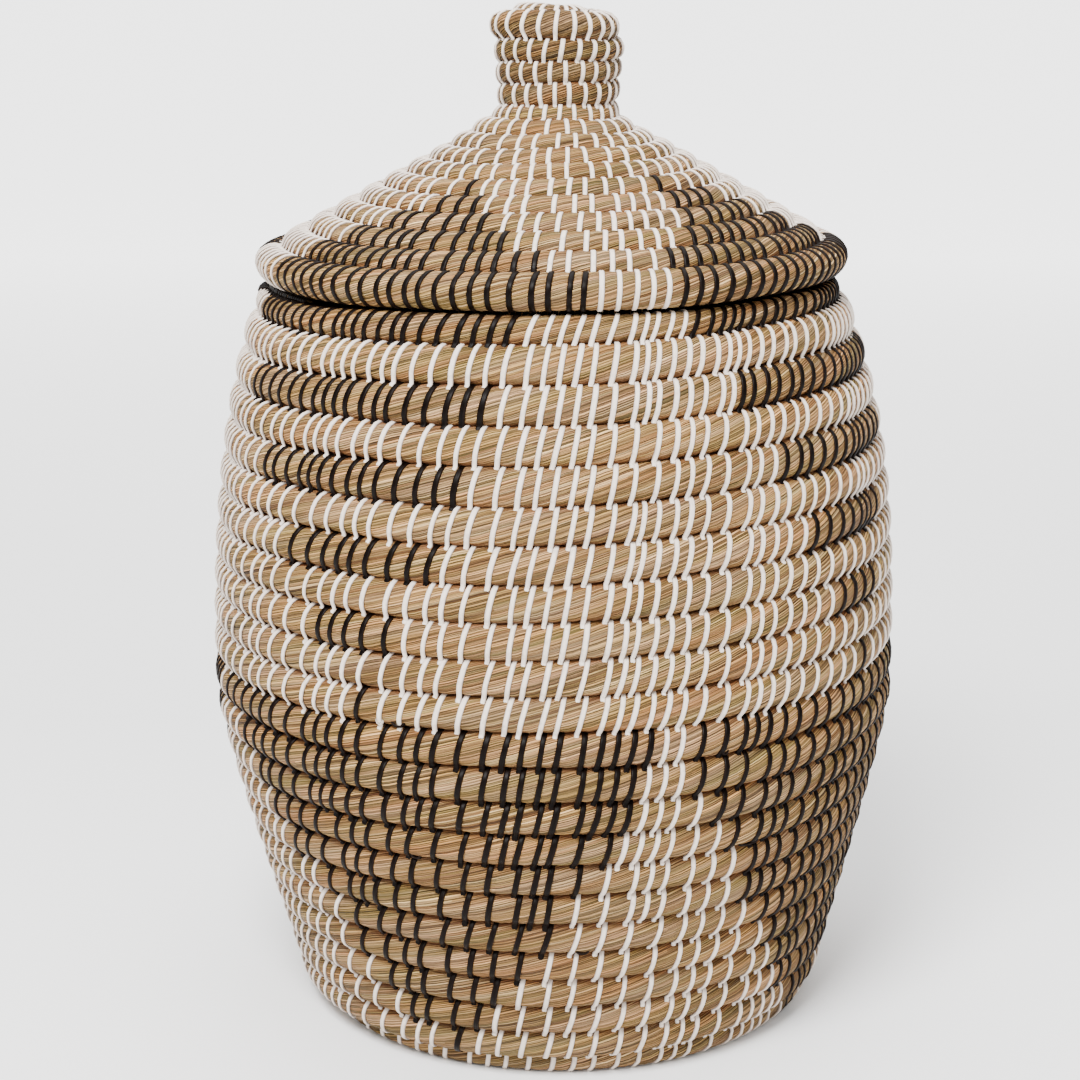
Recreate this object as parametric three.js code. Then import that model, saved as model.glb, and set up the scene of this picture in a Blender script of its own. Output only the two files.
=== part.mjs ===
// A lidded seagrass basket, built the way it is coiled. A long roll of grass winds flat round
// the base and then climbs the wall, and a second one winds from the rim of the lid up to the
// knob. Both climb to the right. Millimetres, +Z up. The origin is on the floor, under the
// middle of the basket.
import * as THREE from 'three';

const degree = Math.PI / 180;

// The basket's roll, thinner at the foot than at the mouth, and the space between its turns
const footRoll = 18.3;
const mouthRoll = 21.1;
const turnGap = 0.7;
const footCut = footRoll / 10;

// The basket's outline, to the middle of the roll: a flat base, a bent corner, and a wall that
// swells to the belly and draws in to the mouth
const footRadius = 134.5;
const cornerRadius = 18;
const bellyRadius = 192.4;
const mouthRadius = 151.8;
const bellyRow = 10.6;
const wallRows = 23.25;
const lastTurn = wallRows - 1;
const lowerFullness = 1.16;
const upperFullness = 2.56;

// The last turn of the wall thins away to a tail, so that the mouth is level but for a slight
// swell. The turn below dips a little, to bed the tail.
const tailAngle = -58 * degree;
const mouthTrim = 3;
const mouthSwell = 1.5;
const tailBed = 4;
const tailBedTurns = 0.2;
const tailBedPast = -0.06;

// The lid's roll, thinner towards the knob, and the cone that it makes. Its rim lies over the
// roll at the mouth, and starts with a thin tail at the back.
const rimRoll = 18.75;
const coneTopRoll = 13;
const coneSlope = 30.4 * degree;
const rimOverhang = 2.5;
const rimTailAngle = 180 * degree;
const rimTailTurns = 0.2;
const rimTailShare = 0.3;
const seatGap = 0.3;

// The knob, a hollow drum of the lid's roll that widens a little. Its top turn is thicker, and
// the roll goes on inwards from there, nearly flat, to a small hole in the middle.
const knobRoll = 12.3;
const knobTopRoll = 16.5;
const knobRadius = 28.2;
const knobBend = 11;
const knobRows = 3.4;
const knobFlare = 4 * degree;
const domeBend = 5;
const domeSlope = 6 * degree;
const domeHole = 0.5;

// The collar that keeps the lid over the mouth
const collarRoll = 14;
const collarTurns = 2;
const collarTail = 0.25;
const collarClearance = 3;

// How finely the rolls are faceted
const stepsPerTurn = 14;
const jointGap = 0.3;
const traceStep = 0.25;

// An outline is walked in short steps. heading says which way it runs, 0 for outwards and a
// quarter turn for straight up. The walk then gives the place at any distance along it.
function walk(start, reach, heading) {
  const places = [{ ...start, heading: heading(0) }];
  const count = Math.ceil(reach / traceStep);
  for (let i = 0; i < count; i++) {
    const way = heading((i + 0.5) * traceStep);
    const r = places[i].r + Math.cos(way) * traceStep;
    const z = places[i].z + Math.sin(way) * traceStep;
    places.push({ r, z, heading: way });
  }
  return distance => {
    const at = Math.min(Math.max(distance / traceStep, 0), count);
    const i = Math.min(Math.floor(at), count - 1);
    const mix = key => places[i][key] + (places[i + 1][key] - places[i][key]) * (at - i);
    return { r: mix('r'), z: mix('z'), heading: mix('heading') };
  };
}

// How thick the basket's roll is at a turn, and how far up the wall the turn's middle lies.
// Turns are counted from the foot, upwards along the wall and below zero on the base.
const bodyRollAt = turn => footRoll + (mouthRoll - footRoll) * Math.max(turn, 0) / wallRows;
const bodyReachAt = turn => turn * (footRoll + bodyRollAt(turn)) / 2;
const wallReach = bodyReachAt(wallRows);
const bellyReach = bodyReachAt(bellyRow);

// The wall's lean at the foot follows from how far it has to swell to the belly
let footLean = 0;
let cornerReach = 0;
for (let pass = 0; pass < 10; pass++) {
  cornerReach = cornerRadius * (Math.PI / 2 - footLean);
  const swell = bellyRadius - footRadius - cornerRadius * Math.cos(footLean);
  footLean = Math.asin(lowerFullness * swell / (bellyReach - cornerReach));
}

// The base spirals out from as near its middle as the roll can bend
const tightestTurn = 0.62 * footRoll;
const baseTurns = Math.floor((footRadius - tightestTurn) / footRoll * stepsPerTurn) / stepsPerTurn;
const baseReach = baseTurns * footRoll;

function bodyHeading(distance) {
  const along = distance - baseReach;
  if (along < 0) return 0;
  if (along < cornerReach) return along / cornerRadius;
  if (along < bellyReach) {
    const left = (bellyReach - along) / (bellyReach - cornerReach);
    return Math.acos(Math.sin(footLean) * left ** (lowerFullness - 1));
  }
  const length = wallReach - bellyReach;
  const gone = (along - bellyReach) / length;
  const lean = upperFullness * (bellyRadius - mouthRadius) / length;
  return Math.acos(-lean * gone ** (upperFullness - 1));
}
const bodyStart = { r: footRadius - baseReach, z: footRoll / 2 - footCut };
const bodyOutline = walk(bodyStart, baseReach + wallReach, bodyHeading);

// Where a turn's upper side lies along the wall. It climbs with the turns, until the last one
// reaches the level of the mouth.
function bodyTopAt(turn) {
  const climbing = bodyReachAt(turn) + bodyRollAt(turn) / 2;
  const past = turn - lastTurn;
  if (past < -0.5) return climbing;
  const bedded = Math.max(Math.cos(Math.PI / 2 * Math.min((past - tailBedPast) / tailBedTurns, 1)), 0);
  const level = bodyReachAt(lastTurn) + bodyRollAt(lastTurn) / 2 - mouthTrim;
  return Math.min(climbing, level + mouthSwell * Math.sin(Math.PI * past) - tailBed * bedded);
}

// A place on a roll holds its middle, the way the outline runs there, half its size along the
// outline and across it, and the angle round the basket, 0 at the front and growing rightwards
function bodyPlace(turn) {
  const size = bodyRollAt(turn);
  const low = bodyTopAt(turn - 1);
  const high = bodyTopAt(turn);
  return {
    ...bodyOutline(baseReach + (low + high) / 2),
    along: (high - low - turnGap) / 2,
    across: (size - turnGap) / 2 * Math.sqrt((high - low) / size),
    angle: tailAngle + 2 * Math.PI * (turn - wallRows),
  };
}

// The lid's outline runs from the rim up the cone, bends up into the knob and bends again into
// the dome. The rim is set by the roll at the mouth, half a turn from the lid's tail.
const rimRadius = bodyPlace(wallRows - 0.5).r + rimOverhang;
const rimStart = rimRadius + rimRoll / 2 * Math.cos(coneSlope);
const coneEnd = knobRadius + knobBend * (Math.cos(knobFlare) - Math.sin(coneSlope));
const coneReach = (rimStart - coneEnd) / Math.cos(coneSlope);
const knobFoot = coneReach + knobBend * (Math.PI / 2 - coneSlope + knobFlare);
const knobTop = knobFoot + knobRows * knobRoll;
const domeFoot = knobTop + domeBend * (Math.PI / 2 - domeSlope + knobFlare);
const domeRadius = knobRadius + knobRows * knobRoll * Math.sin(knobFlare)
  - domeBend * (Math.cos(knobFlare) - Math.sin(domeSlope));
const domeEnd = domeHole + knobTopRoll / 2;
const lidReach = domeFoot + (domeRadius - domeEnd) / Math.cos(domeSlope);

function lidHeading(distance) {
  if (distance < coneReach) return Math.PI - coneSlope;
  if (distance < knobFoot) return Math.PI - coneSlope - (distance - coneReach) / knobBend;
  if (distance < knobTop) return Math.PI / 2 - knobFlare;
  if (distance < domeFoot) return Math.PI / 2 - knobFlare + (distance - knobTop) / domeBend;
  return Math.PI - domeSlope;
}
const lidOutline = walk({ r: rimStart, z: 0 }, lidReach, lidHeading);

function lidRollAt(distance) {
  if (distance < coneReach) return rimRoll + (coneTopRoll - rimRoll) * distance / coneReach;
  const bent = Math.min((distance - coneReach) / (knobFoot - coneReach), 1);
  const topped = Math.min(Math.max((distance - knobTop + knobRoll) / knobTopRoll, 0), 1);
  return coneTopRoll + (knobRoll - coneTopRoll) * bent + (knobTopRoll - knobRoll) * topped;
}

// The distance along the lid's outline after each small part of a turn
const turnParts = 64;
const lidReached = [0];
while (lidReached.at(-1) < lidReach) {
  lidReached.push(lidReached.at(-1) + lidRollAt(lidReached.at(-1)) / turnParts);
}
const lidTurns = (lidReached.length - 2) / turnParts;
function lidReachAt(turn) {
  const at = Math.max(turn * turnParts, 0);
  const i = Math.min(Math.floor(at), lidReached.length - 2);
  return lidReached[i] + (lidReached[i + 1] - lidReached[i]) * (at - i);
}

function lidPlace(turn) {
  const distance = lidReachAt(turn);
  const full = lidRollAt(distance);
  const share = rimTailShare + (1 - rimTailShare) * Math.min(turn / rimTailTurns, 1);
  return {
    ...lidOutline(distance + full * (1 - share) / 2),
    along: (full * share - turnGap) / 2,
    across: (full * share - turnGap) / 2,
    angle: rimTailAngle + 2 * Math.PI * turn,
  };
}

// The corners of a roll's section, as shares of half its size across and along the outline. A
// flat side faces outwards and another inwards, and a corner faces the turn on either side.
const sectionCorners = [[1, 0.5], [0, 1], [-1, 0.5], [-1, -0.5], [0, -1], [1, -0.5]];
const rollSides = sectionCorners.length;

// The section's corners at a place, each as a radius and a height
function sectionAt({ r, z, heading, along, across }) {
  return sectionCorners.map(([out, up]) => [
    r + out * across * Math.sin(heading) + up * along * Math.cos(heading),
    z - out * across * Math.cos(heading) + up * along * Math.sin(heading),
  ]);
}

// The rings of a roll from one turn to another. Every ring stands on the same spokes as its
// neighbours, and an end that meets another piece is cut across the middle of a straight.
function rollRings(placeAt, from, to, { cutStart = false, cutEnd = false, floor = false }) {
  const turns = [];
  for (let turn = from; turn < to - 0.001; turn += 1 / stepsPerTurn) turns.push(turn);
  turns.push(to);
  const rings = turns.map(turn => {
    const place = placeAt(turn);
    return sectionAt(place).map(([r, z]) => new THREE.Vector3(
      r * Math.sin(place.angle), -r * Math.cos(place.angle), floor ? Math.max(z, 0) : z));
  });
  const cut = (end, next) => rings.at(end).forEach((corner, k) => {
    const share = 0.5 + jointGap / 2 / corner.distanceTo(rings.at(next)[k]);
    corner.lerp(rings.at(next)[k], share);
  });
  if (cutStart) cut(0, 1);
  if (cutEnd) cut(-1, -2);
  return rings;
}

// A closed tube through the rings, with a flat cap on each end
function rollGeometry(rings) {
  const indices = [];
  for (let i = 0; i < rings.length - 1; i++) {
    for (let k = 0; k < rollSides; k++) {
      const a = i * rollSides + k;
      const b = i * rollSides + (k + 1) % rollSides;
      indices.push(a, a + rollSides, b, b, a + rollSides, b + rollSides);
    }
  }
  const last = (rings.length - 1) * rollSides;
  for (let k = 1; k < rollSides - 1; k++) {
    indices.push(0, k, k + 1);
    indices.push(last, last + k + 1, last + k);
  }
  const geometry = new THREE.BufferGeometry();
  geometry.setFromPoints(rings.flat());
  geometry.setIndex(indices);
  geometry.computeVertexNormals();
  return geometry;
}

// The least space between a roll and its own next turn, measured on points round each section
function leastGap(placeAt, from, to) {
  const points = turn => {
    const corners = sectionAt(placeAt(turn));
    return corners.flatMap(([r, z], k) => {
      const [r2, z2] = corners[(k + 1) % rollSides];
      return [0, 0.2, 0.4, 0.6, 0.8].map(share => [r + (r2 - r) * share, z + (z2 - z) * share]);
    });
  };
  let least = Infinity;
  for (let turn = from; turn + 1 <= to; turn += 1 / stepsPerTurn) {
    for (const [r, z] of points(turn)) {
      for (const [r2, z2] of points(turn + 1)) least = Math.min(least, Math.hypot(r2 - r, z2 - z));
    }
  }
  return least;
}

const grass = new THREE.MeshStandardMaterial({ color: 0xc6a26c, roughness: 0.85, metalness: 0 });

function rollMesh(name, placeAt, from, to, ends = {}) {
  const mesh = new THREE.Mesh(rollGeometry(rollRings(placeAt, from, to, ends)), grass);
  mesh.name = name;
  const gap = leastGap(placeAt, from, to);
  console.log(`${name}: ${(to - from).toFixed(2)} turns, least gap to itself ${gap.toFixed(2)} mm`);
  return mesh;
}

// The basket: the base and the wall are one roll, parted where the wall begins
const step = 1 / stepsPerTurn;
const baseCoil = rollMesh('base_coil', bodyPlace, -baseTurns, step, { cutEnd: true, floor: true });
const wallCoil = rollMesh('wall_coil', bodyPlace, 0, wallRows, { cutStart: true, floor: true });

// The lid's roll, parted where the knob begins to stand upright
const knobTurn = Math.round(lidReached.findIndex(d => d >= knobFoot) / turnParts / step) * step;
const lidCoil = rollMesh('lid_coil', lidPlace, 0, knobTurn + step, { cutEnd: true });
const knobCoil = rollMesh('knob_coil', lidPlace, knobTurn, lidTurns, { cutStart: true });

// The height of a section's upper or lower side at a radius, where it has one there
function sideAt(corners, radius, pick) {
  const heights = corners.flatMap(([r, z], k) => {
    const [r2, z2] = corners[(k + 1) % rollSides];
    const share = (radius - r) / (r2 - r);
    return share >= 0 && share <= 1 ? [z + (z2 - z) * share] : [];
  });
  return heights.length ? pick(...heights) : NaN;
}

// How far a section can be lowered before it meets another one
function fall(upper, lower) {
  const falls = [...upper, ...lower].map(([r]) =>
    sideAt(upper, r, Math.min) - sideAt(lower, r, Math.max));
  return Math.min(...falls.filter(Number.isFinite));
}

// The spiral's wide side and narrow side are evened out over the mouth
const lidShift = rimRoll * Math.cos(coneSlope) / 4;
const lidSectionAt = turn => {
  const place = lidPlace(turn);
  return sectionAt({ ...place, r: place.r + lidShift * Math.sin(place.angle) });
};
const spokes = Array.from({ length: 4 * stepsPerTurn }, (_, i) => i * step / 4);

// The lid comes down until its rim meets the mouth, wherever round the basket that is
const lidSeat = seatGap - Math.min(...spokes.flatMap(turn => {
  const past = ((lidPlace(turn).angle - tailAngle) / (2 * Math.PI)) % 1;
  return [past - 1, past].map(part =>
    fall(lidSectionAt(turn), sectionAt(bodyPlace(lastTurn + part))));
}));

// The collar hangs close under the cone, inside the mouth. Its last turn thins to a level top.
const collarRadius = bodyPlace(lastTurn).r * Math.cos(Math.PI / stepsPerTurn)
  - mouthRoll / 2 - collarClearance - collarRoll / 2;
function collarPlace(turn) {
  const low = (turn - collarTurns) * collarRoll;
  const high = Math.min(low + collarRoll, 0);
  return {
    r: collarRadius,
    z: (low + high) / 2,
    heading: Math.PI / 2,
    along: (high - low - turnGap) / 2,
    across: (collarRoll - turnGap) / 2,
    angle: rimTailAngle + 2 * Math.PI * turn,
  };
}
const collarCoil = rollMesh('lid_collar_coil', collarPlace, 0, collarTurns - collarTail);
const collarLift = Math.min(...spokes.flatMap(part => [1, 2, 3].flatMap(row =>
  [0, 1].map(turn => Math.min(turn + part, collarTurns - collarTail)).map(turn =>
    fall(lidSectionAt(part + row), sectionAt(collarPlace(turn))))))) - seatGap;

const lid = new THREE.Group();
lid.position.set(lidShift, 0, lidSeat);
collarCoil.position.set(-lidShift, 0, collarLift);
lid.add(lidCoil, knobCoil, collarCoil);

const basket = new THREE.Group();
basket.add(baseCoil, wallCoil, lid);
export default basket;
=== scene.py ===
# %% [markdown]
# # A lidded basket of coiled seagrass
#
# The basket is one long roll of dry grass stems, wound round and round and bound to itself with
# strips of white and black plastic. Some three and a half thousand stitches make its pattern. A
# scene of this could be a smooth pot with a painted picture, but then every edge would be bare
# and every close look would show the paint. So each roll and each strip is built here as a thing
# of its own, along the same routes that the solid model takes.

# %% Start from the solid model
import math
from bisect import bisect_left

import bpy
import numpy as np
from mathutils import Matrix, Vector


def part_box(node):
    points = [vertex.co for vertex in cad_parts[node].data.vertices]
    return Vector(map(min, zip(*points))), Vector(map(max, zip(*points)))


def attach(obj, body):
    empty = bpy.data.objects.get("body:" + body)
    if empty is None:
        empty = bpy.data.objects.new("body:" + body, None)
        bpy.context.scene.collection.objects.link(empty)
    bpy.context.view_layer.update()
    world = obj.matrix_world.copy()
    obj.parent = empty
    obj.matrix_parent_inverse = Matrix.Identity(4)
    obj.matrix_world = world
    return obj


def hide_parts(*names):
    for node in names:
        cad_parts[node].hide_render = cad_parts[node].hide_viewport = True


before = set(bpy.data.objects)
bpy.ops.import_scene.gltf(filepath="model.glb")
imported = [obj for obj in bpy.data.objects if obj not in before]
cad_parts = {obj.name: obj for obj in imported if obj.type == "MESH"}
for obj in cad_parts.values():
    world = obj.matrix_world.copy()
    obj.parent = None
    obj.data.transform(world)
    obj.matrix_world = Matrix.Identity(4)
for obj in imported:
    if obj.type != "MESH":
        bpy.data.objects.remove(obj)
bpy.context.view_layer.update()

# %% [markdown]
# ## The view
#
# The camera stands where the photographer stood, a little above the lid and looking down by 14
# degrees. Its place was found by fitting the outline and all the rows of the basket, so the
# widths and heights of the picture can be trusted row by row.

# %% Camera
degree = math.pi / 180
mm = 0.001
camera_place = (0, -1.378, 0.618)
turned, tipped, rolled = 0.34 * degree, (90 - 13.98) * degree, -0.17 * degree

camera_data = bpy.data.cameras.new("camera")
camera_data.sensor_width = 36
camera_data.lens = 78.83
camera = bpy.data.objects.new("camera", camera_data)
bpy.context.scene.collection.objects.link(camera)
bpy.context.scene.camera = camera
camera.matrix_world = (Matrix.Translation(camera_place) @ Matrix.Rotation(turned, 4, "Z")
                       @ Matrix.Rotation(tipped, 4, "X") @ Matrix.Rotation(rolled, 4, "Z"))
print("camera at", tuple(round(x, 3) for x in camera.location))

# %% [markdown]
# ## Floor and light
#
# A product picture like this one is taken in a white tent. A large soft lamp hangs in front and
# above, a wide one straight above, and a weak one fills from the right, while white paper all
# round throws light back. That keeps the shadows in the seams short and soft, and shows the
# round of every strip. The floor is so wide that its edge lies out of sight.

# %% Floor and light
def lamp(name, place, target, size, power):
    """A round soft lamp, size in metres and power in watts, that faces its target."""
    data = bpy.data.lights.new(name, "AREA")
    data.shape = "DISK"
    data.size = size
    data.energy = power
    made = bpy.data.objects.new(name, data)
    bpy.context.scene.collection.objects.link(made)
    way = np.subtract(target, place)
    flat = math.hypot(way[0], way[1])
    made.rotation_euler = (math.atan2(flat, -way[2]), 0, math.atan2(-way[0], way[1]))
    made.location = place


lamp("key_lamp", (-0.45, -1.5, 2.15), (0, 0, 0.4), 1.0, 148)
lamp("fill_lamp", (1.8, -1.6, 1.2), (0, 0, 0.25), 1.6, 4)
lamp("top_lamp", (0.1, 0.4, 2.5), (0, 0, 0.4), 1.8, 40)

floor_radius = 60
bpy.ops.mesh.primitive_circle_add(vertices=96, radius=floor_radius, fill_type="NGON")
floor = bpy.context.object
floor.name = "floor"

# %% [markdown]
# ## Writing materials as sums
#
# A finish is made of many small nodes, and wiring them one at a time hides the thought behind
# them. The class below holds one socket. Adding or multiplying two of these adds the Math node
# that does it, so a finish reads like a sum. Everything else comes from its one method, node.

# %% One socket of a material
class Strand:
    """A socket that can be used in sums."""

    def __init__(self, tree, socket=None):
        self.tree = tree
        self.socket = socket

    def node(self, kind, settings=None, sockets=None, out=0):
        """Adds a node: its settings first, then the value or link of each socket."""
        made = self.tree.nodes.new(kind)
        for name, value in (settings or {}).items():
            if name == "stops":
                ramp = made.color_ramp.elements
                while len(ramp) < len(value):
                    ramp.new(0.5)
                for element, (place, color) in zip(ramp, value):
                    element.position = place
                    element.color = color
            else:
                setattr(made, name, value)
        for name, value in (sockets or {}).items():
            if isinstance(value, Strand):
                self.tree.links.new(value.socket, made.inputs[name])
            else:
                made.inputs[name].default_value = value
        return Strand(self.tree, made.outputs[out] if made.outputs else None)

    def maths(self, operation, *values):
        return self.node("ShaderNodeMath", {"operation": operation}, dict(enumerate(values)))

    def __add__(self, other):
        return self.maths("ADD", self, other)

    def __sub__(self, other):
        return self.maths("SUBTRACT", self, other)

    def __rsub__(self, other):
        return self.maths("SUBTRACT", other, self)

    def __mul__(self, other):
        return self.maths("MULTIPLY", self, other)

    def __pow__(self, other):
        return self.maths("POWER", self, other)

    __radd__ = __add__
    __rmul__ = __mul__

    def floor(self):
        return self.maths("FLOOR", self)

    def between(self, low, high):
        """0 at low, 1 at high, and straight between, with nothing outside."""
        return self.node("ShaderNodeMapRange", {"clamp": True},
                         {"Value": self, "From Min": low, "From Max": high})


# %% Helpers for finishes
def at(m, x, y, z=0.0):
    return m.node("ShaderNodeCombineXYZ", None, {0: x, 1: y, 2: z})


def split(m, vector):
    """The x, y and z of a vector."""
    parts = m.node("ShaderNodeSeparateXYZ", None, {0: vector}).socket.node
    return [Strand(m.tree, part) for part in parts.outputs]


def grain(m, x, y, z=0.0, detail=2.0, rough=0.5):
    """Soft noise of mean 0.5 at a place made of values."""
    return m.node("ShaderNodeTexNoise", {"noise_dimensions": "3D"},
                  {"Vector": at(m, x, y, z), "Scale": 1.0, "Detail": detail, "Roughness": rough})


def chance_at(m, x, y):
    """A chance number from 0 to 1 for each whole x and y."""
    return m.node("ShaderNodeTexWhiteNoise", {"noise_dimensions": "2D"},
                  {"Vector": at(m, x.floor() + 0.5, y.floor() + 0.5)})


def mixed(m, factor, a, b, way="MIX"):
    return m.node("ShaderNodeMix", {"data_type": "RGBA", "blend_type": way},
                  {0: factor, 6: a, 7: b}, out=2)


def tone(r, g, b):
    """A colour as a paint shop would write it, 0 to 255, made linear."""
    return tuple((c / 255) ** 2.2 for c in (r, g, b)) + (1.0,)


def new_material(name):
    made = bpy.data.materials.new(name)
    made.use_nodes = True
    made.node_tree.nodes.clear()
    return made, Strand(made.node_tree)


def on_map(m, name):
    """Where a point lies on a map that the mesh carries, as x and y."""
    return split(m, m.node("ShaderNodeUVMap", {"uv_map": name}))[:2]


def painted_foot_shade(m):
    """Painted shade: 1 on most of the basket and down to 0 at its darker foot."""
    height = split(m, m.node("ShaderNodeTexCoord", out=3))[2]
    return height.between(-0.02, 0.25)


def shaded(m, made, sockets):
    """Ends a material in the usual surface shader."""
    surface = m.node("ShaderNodeBsdfPrincipled", None, sockets)
    m.node("ShaderNodeOutputMaterial", None, {"Surface": surface})
    print(made.name, "has", len(made.node_tree.nodes), "nodes")
    return made


print("straw colour in linear light:", [round(c, 3) for c in tone(230, 190, 134)[:3]])

# %% [markdown]
# ## Light from all round
#
# White paper all round gives light without edges, but it also flattens the sides of a round
# thing. Photographers hang dark cloths left and right, out of the picture, to bring the sides
# back. The light of the surroundings here is weaker from the left and right in the same way.

# %% Surroundings
front_light, side_loss = 1.5, 1.15

world = bpy.data.worlds.new("studio")
world.use_nodes = True
sky = Strand(world.node_tree)
sideways = split(sky, sky.node("ShaderNodeTexCoord"))[0]
strength = front_light - sideways * sideways * side_loss
background = world.node_tree.nodes["Background"]
background.inputs["Color"].default_value = (1, 1, 1, 1)
world.node_tree.links.new(strength.socket, background.inputs["Strength"])
bpy.context.scene.world = world
print("surroundings have", len(world.node_tree.nodes), "nodes")

# %% [markdown]
# ## Dry grass
#
# Seagrass stems are round, waxy and 1 to 2 mm thick. They dry to tan, olive, straw, pinkish or
# now and then rusty brown, each stem in its own colour, with long fibres. The dark lines where
# two stems touch, and the reddish brown where one turn meets the next, are painted shade. A stem
# runs some 30 cm before another one takes its place. The finish counts
# stems by a coordinate that runs round the roll, and gives every stretch of every stem a chance
# number for its colour. A plain noise would blur the stems into each other.

# %% The colours of grass
stem_tones = [
    (0.0, tone(158, 116, 72)), (0.16, tone(204, 158, 102)), (0.32, tone(140, 114, 68)),
    (0.46, tone(230, 190, 134)), (0.6, tone(188, 138, 92)), (0.74, tone(180, 142, 84)),
    (0.88, tone(172, 132, 86)), (0.97, tone(134, 94, 58)), (1.0, tone(98, 70, 42)),
]
# rusty, pinkish and olive patches: where their noise begins, how fine it is round the roll and
# along it, and how strongly they colour
patch_tones = [(11.0, 0.12, 9.0, 0.62, tone(200, 136, 80)),
               (23.0, 0.1, 7.0, 0.5, tone(206, 170, 132)),
               (37.0, 0.14, 8.0, 0.55, tone(150, 130, 70))]
# painted shade: the reddish brown that darkens the grass where one turn of the roll meets the next
turn_crease_shade_tone = tone(116, 70, 46)
print(len(stem_tones), "colours of stems and", len(patch_tones), "of patches")

# %% Grass
# each grain: how fine it is round the roll, per stem, and along it, per metre, where its noise
# begins, its detail and its roughness
stray_grain = (0.3, 5.0, 0.0, 1.0, 0.5)
broad_grain = (0.06, 1.7, 4.0, 2.0, 0.5)
fibre_grain = (1.6, 9.0, 2.0, 3.5, 0.62)
fleck_grain = (1.4, 260.0, 7.0, 2.0, 0.5)
wrinkle_grain = (0.55, 190.0, 31.0, 3.0, 0.5)
stray, stretches, threads, threads_per_stem = 2.4, 3.1, 4.7, 2.3
stem_height = 0.8 * mm


def grass(name, stems, worn, crumple):
    """stems lie side by side round the roll. worn is 1 for clean grass and less where hands
    have darkened it, and crumple is 0 for smooth stems."""
    made, m = new_material(name)
    # x counts stems round the roll, and y metres along it
    x, y = on_map(m, "stems")
    x = x * stems

    def noise(round_it, along_it, start, detail, rough):
        return grain(m, x * round_it, y * along_it, start, detail, rough)

    stem = x + (noise(*stray_grain) - 0.5) * stray
    number = stem.floor()
    own = m.node("ShaderNodeTexWhiteNoise", {"noise_dimensions": "1D"}, {"W": number})
    round_of_stem = 1.0 - ((stem - number) * 2.0 - 1.0) ** 2.0

    color = m.node("ShaderNodeValToRGB", {"stops": stem_tones},
                   {"Fac": chance_at(m, stem, y * stretches + own * 17.0)})
    for start, round_it, along_it, amount, hue in patch_tones:
        patch = noise(round_it, along_it, start, 1.0, 0.5).between(0.48, 0.7)
        color = mixed(m, patch * amount, color, hue)

    broad = noise(*broad_grain)
    fibre = noise(*fibre_grain) - 0.5
    fleck = noise(*fleck_grain) - 0.5
    wrinkle = (noise(*wrinkle_grain) - 0.5) * crumple
    thread = chance_at(m, stem * threads_per_stem, y * threads) - 0.5
    # light is 0 to 1.5 on most of the grass, and shade is what the stem's colour is multiplied by:
    # that light with painted shade in the creases between stems and towards the basket's foot
    light = (0.05 + broad * 0.5 + fibre * 6.4 + fleck * 0.2 + (own - 0.5) * 0.6 + thread * 0.6
             + wrinkle)
    # painted shade: a stem is darker towards its edges, where shade falls in the crease between
    # stems
    seam = round_of_stem.between(0.0, 0.6 + 0.2 * crumple)
    shade = (0.26 + light.between(-0.2, 1.6) * 1.55) * (0.22 - 0.06 * crumple + seam * 0.82)
    # painted shade: the grass is darker towards the basket's foot
    shade = shade * (0.58 + painted_foot_shade(m) * 0.2) * worn
    color = mixed(m, 1.0, color, at(m, shade, shade, shade), "MULTIPLY")
    # painted shade in the creases between turns, placed by the side map
    turn_crease_shade = on_map(m, "side")[0] + (broad - 0.5) * 0.3
    color = mixed(m, turn_crease_shade.between(0.7, 1.0) * 0.9, color, turn_crease_shade_tone)

    height = round_of_stem ** 0.6 + fibre * 1.2 + own * 0.5 + wrinkle * 2.2
    bump = m.node("ShaderNodeBump", None,
                  {"Strength": 1.0, "Distance": stem_height, "Height": height})
    return shaded(m, made, {"Base Color": color, "Roughness": 0.74 - fibre * 0.4 - seam * 0.14,
                            "Normal": bump, "IOR": 1.22})


grass_finish = grass("dry_grass", 48, 1.0, 0.0)
worn_finish = grass("worn_grass", 32, 0.74, 1.7)

# %% [markdown]
# ## White and black strips
#
# The strips are cut from flat plastic. Pulled tight over the roll they turn into a low rounded
# band with a shallow groove along the middle, which shows as two fine lines of light on the
# black ones. Wear and dust make them slightly uneven, mostly lengthwise. The groove is in the
# mesh. The streaks and the dust are painted, and so are light and shade: the white strips are
# painted darker at their edges and near the basket's foot, the black ones lighter there.

# %% Strips
streak_height = 0.2 * mm


def strip(name, clean, dust_and_shade_tone, dull, streaks, shine):
    """x runs from -1 to 1 across a strip, and y in millimetres along it."""
    made, m = new_material(name)
    x, y = on_map(m, "strip")
    line = grain(m, x * 3.2, y * 0.05, detail=2.0)
    spot = grain(m, x * 0.6, y * 0.35, 5.0, detail=3.0)
    # painted shade and light: the white strips darker, the black ones lighter, towards their edges
    # and near the basket's foot
    edge = (x * x) ** 1.8 + (1.0 - painted_foot_shade(m)) * 0.16
    # dust and wear in the streaks and spots, painted light and shade in the edge term
    dust_and_shade = (line - 0.35) * streaks + spot.between(0.5, 0.8) * 0.35 + edge * 0.9
    bump = m.node("ShaderNodeBump", None,
                  {"Strength": 0.6, "Distance": streak_height, "Height": line * 0.7 + spot * 0.5})
    return shaded(m, made, {"Base Color": mixed(m, dust_and_shade, clean, dust_and_shade_tone), "Normal": bump,
                            "Roughness": dull + (spot - 0.5) * 0.25, "IOR": shine})


white_finish = strip("white_strip", tone(232, 219, 205), tone(140, 124, 116), 0.45, 0.5, 1.28)
black_finish = strip("black_strip", tone(12, 8, 6), tone(34, 25, 21), 0.4, 0.4, 1.15)

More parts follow.
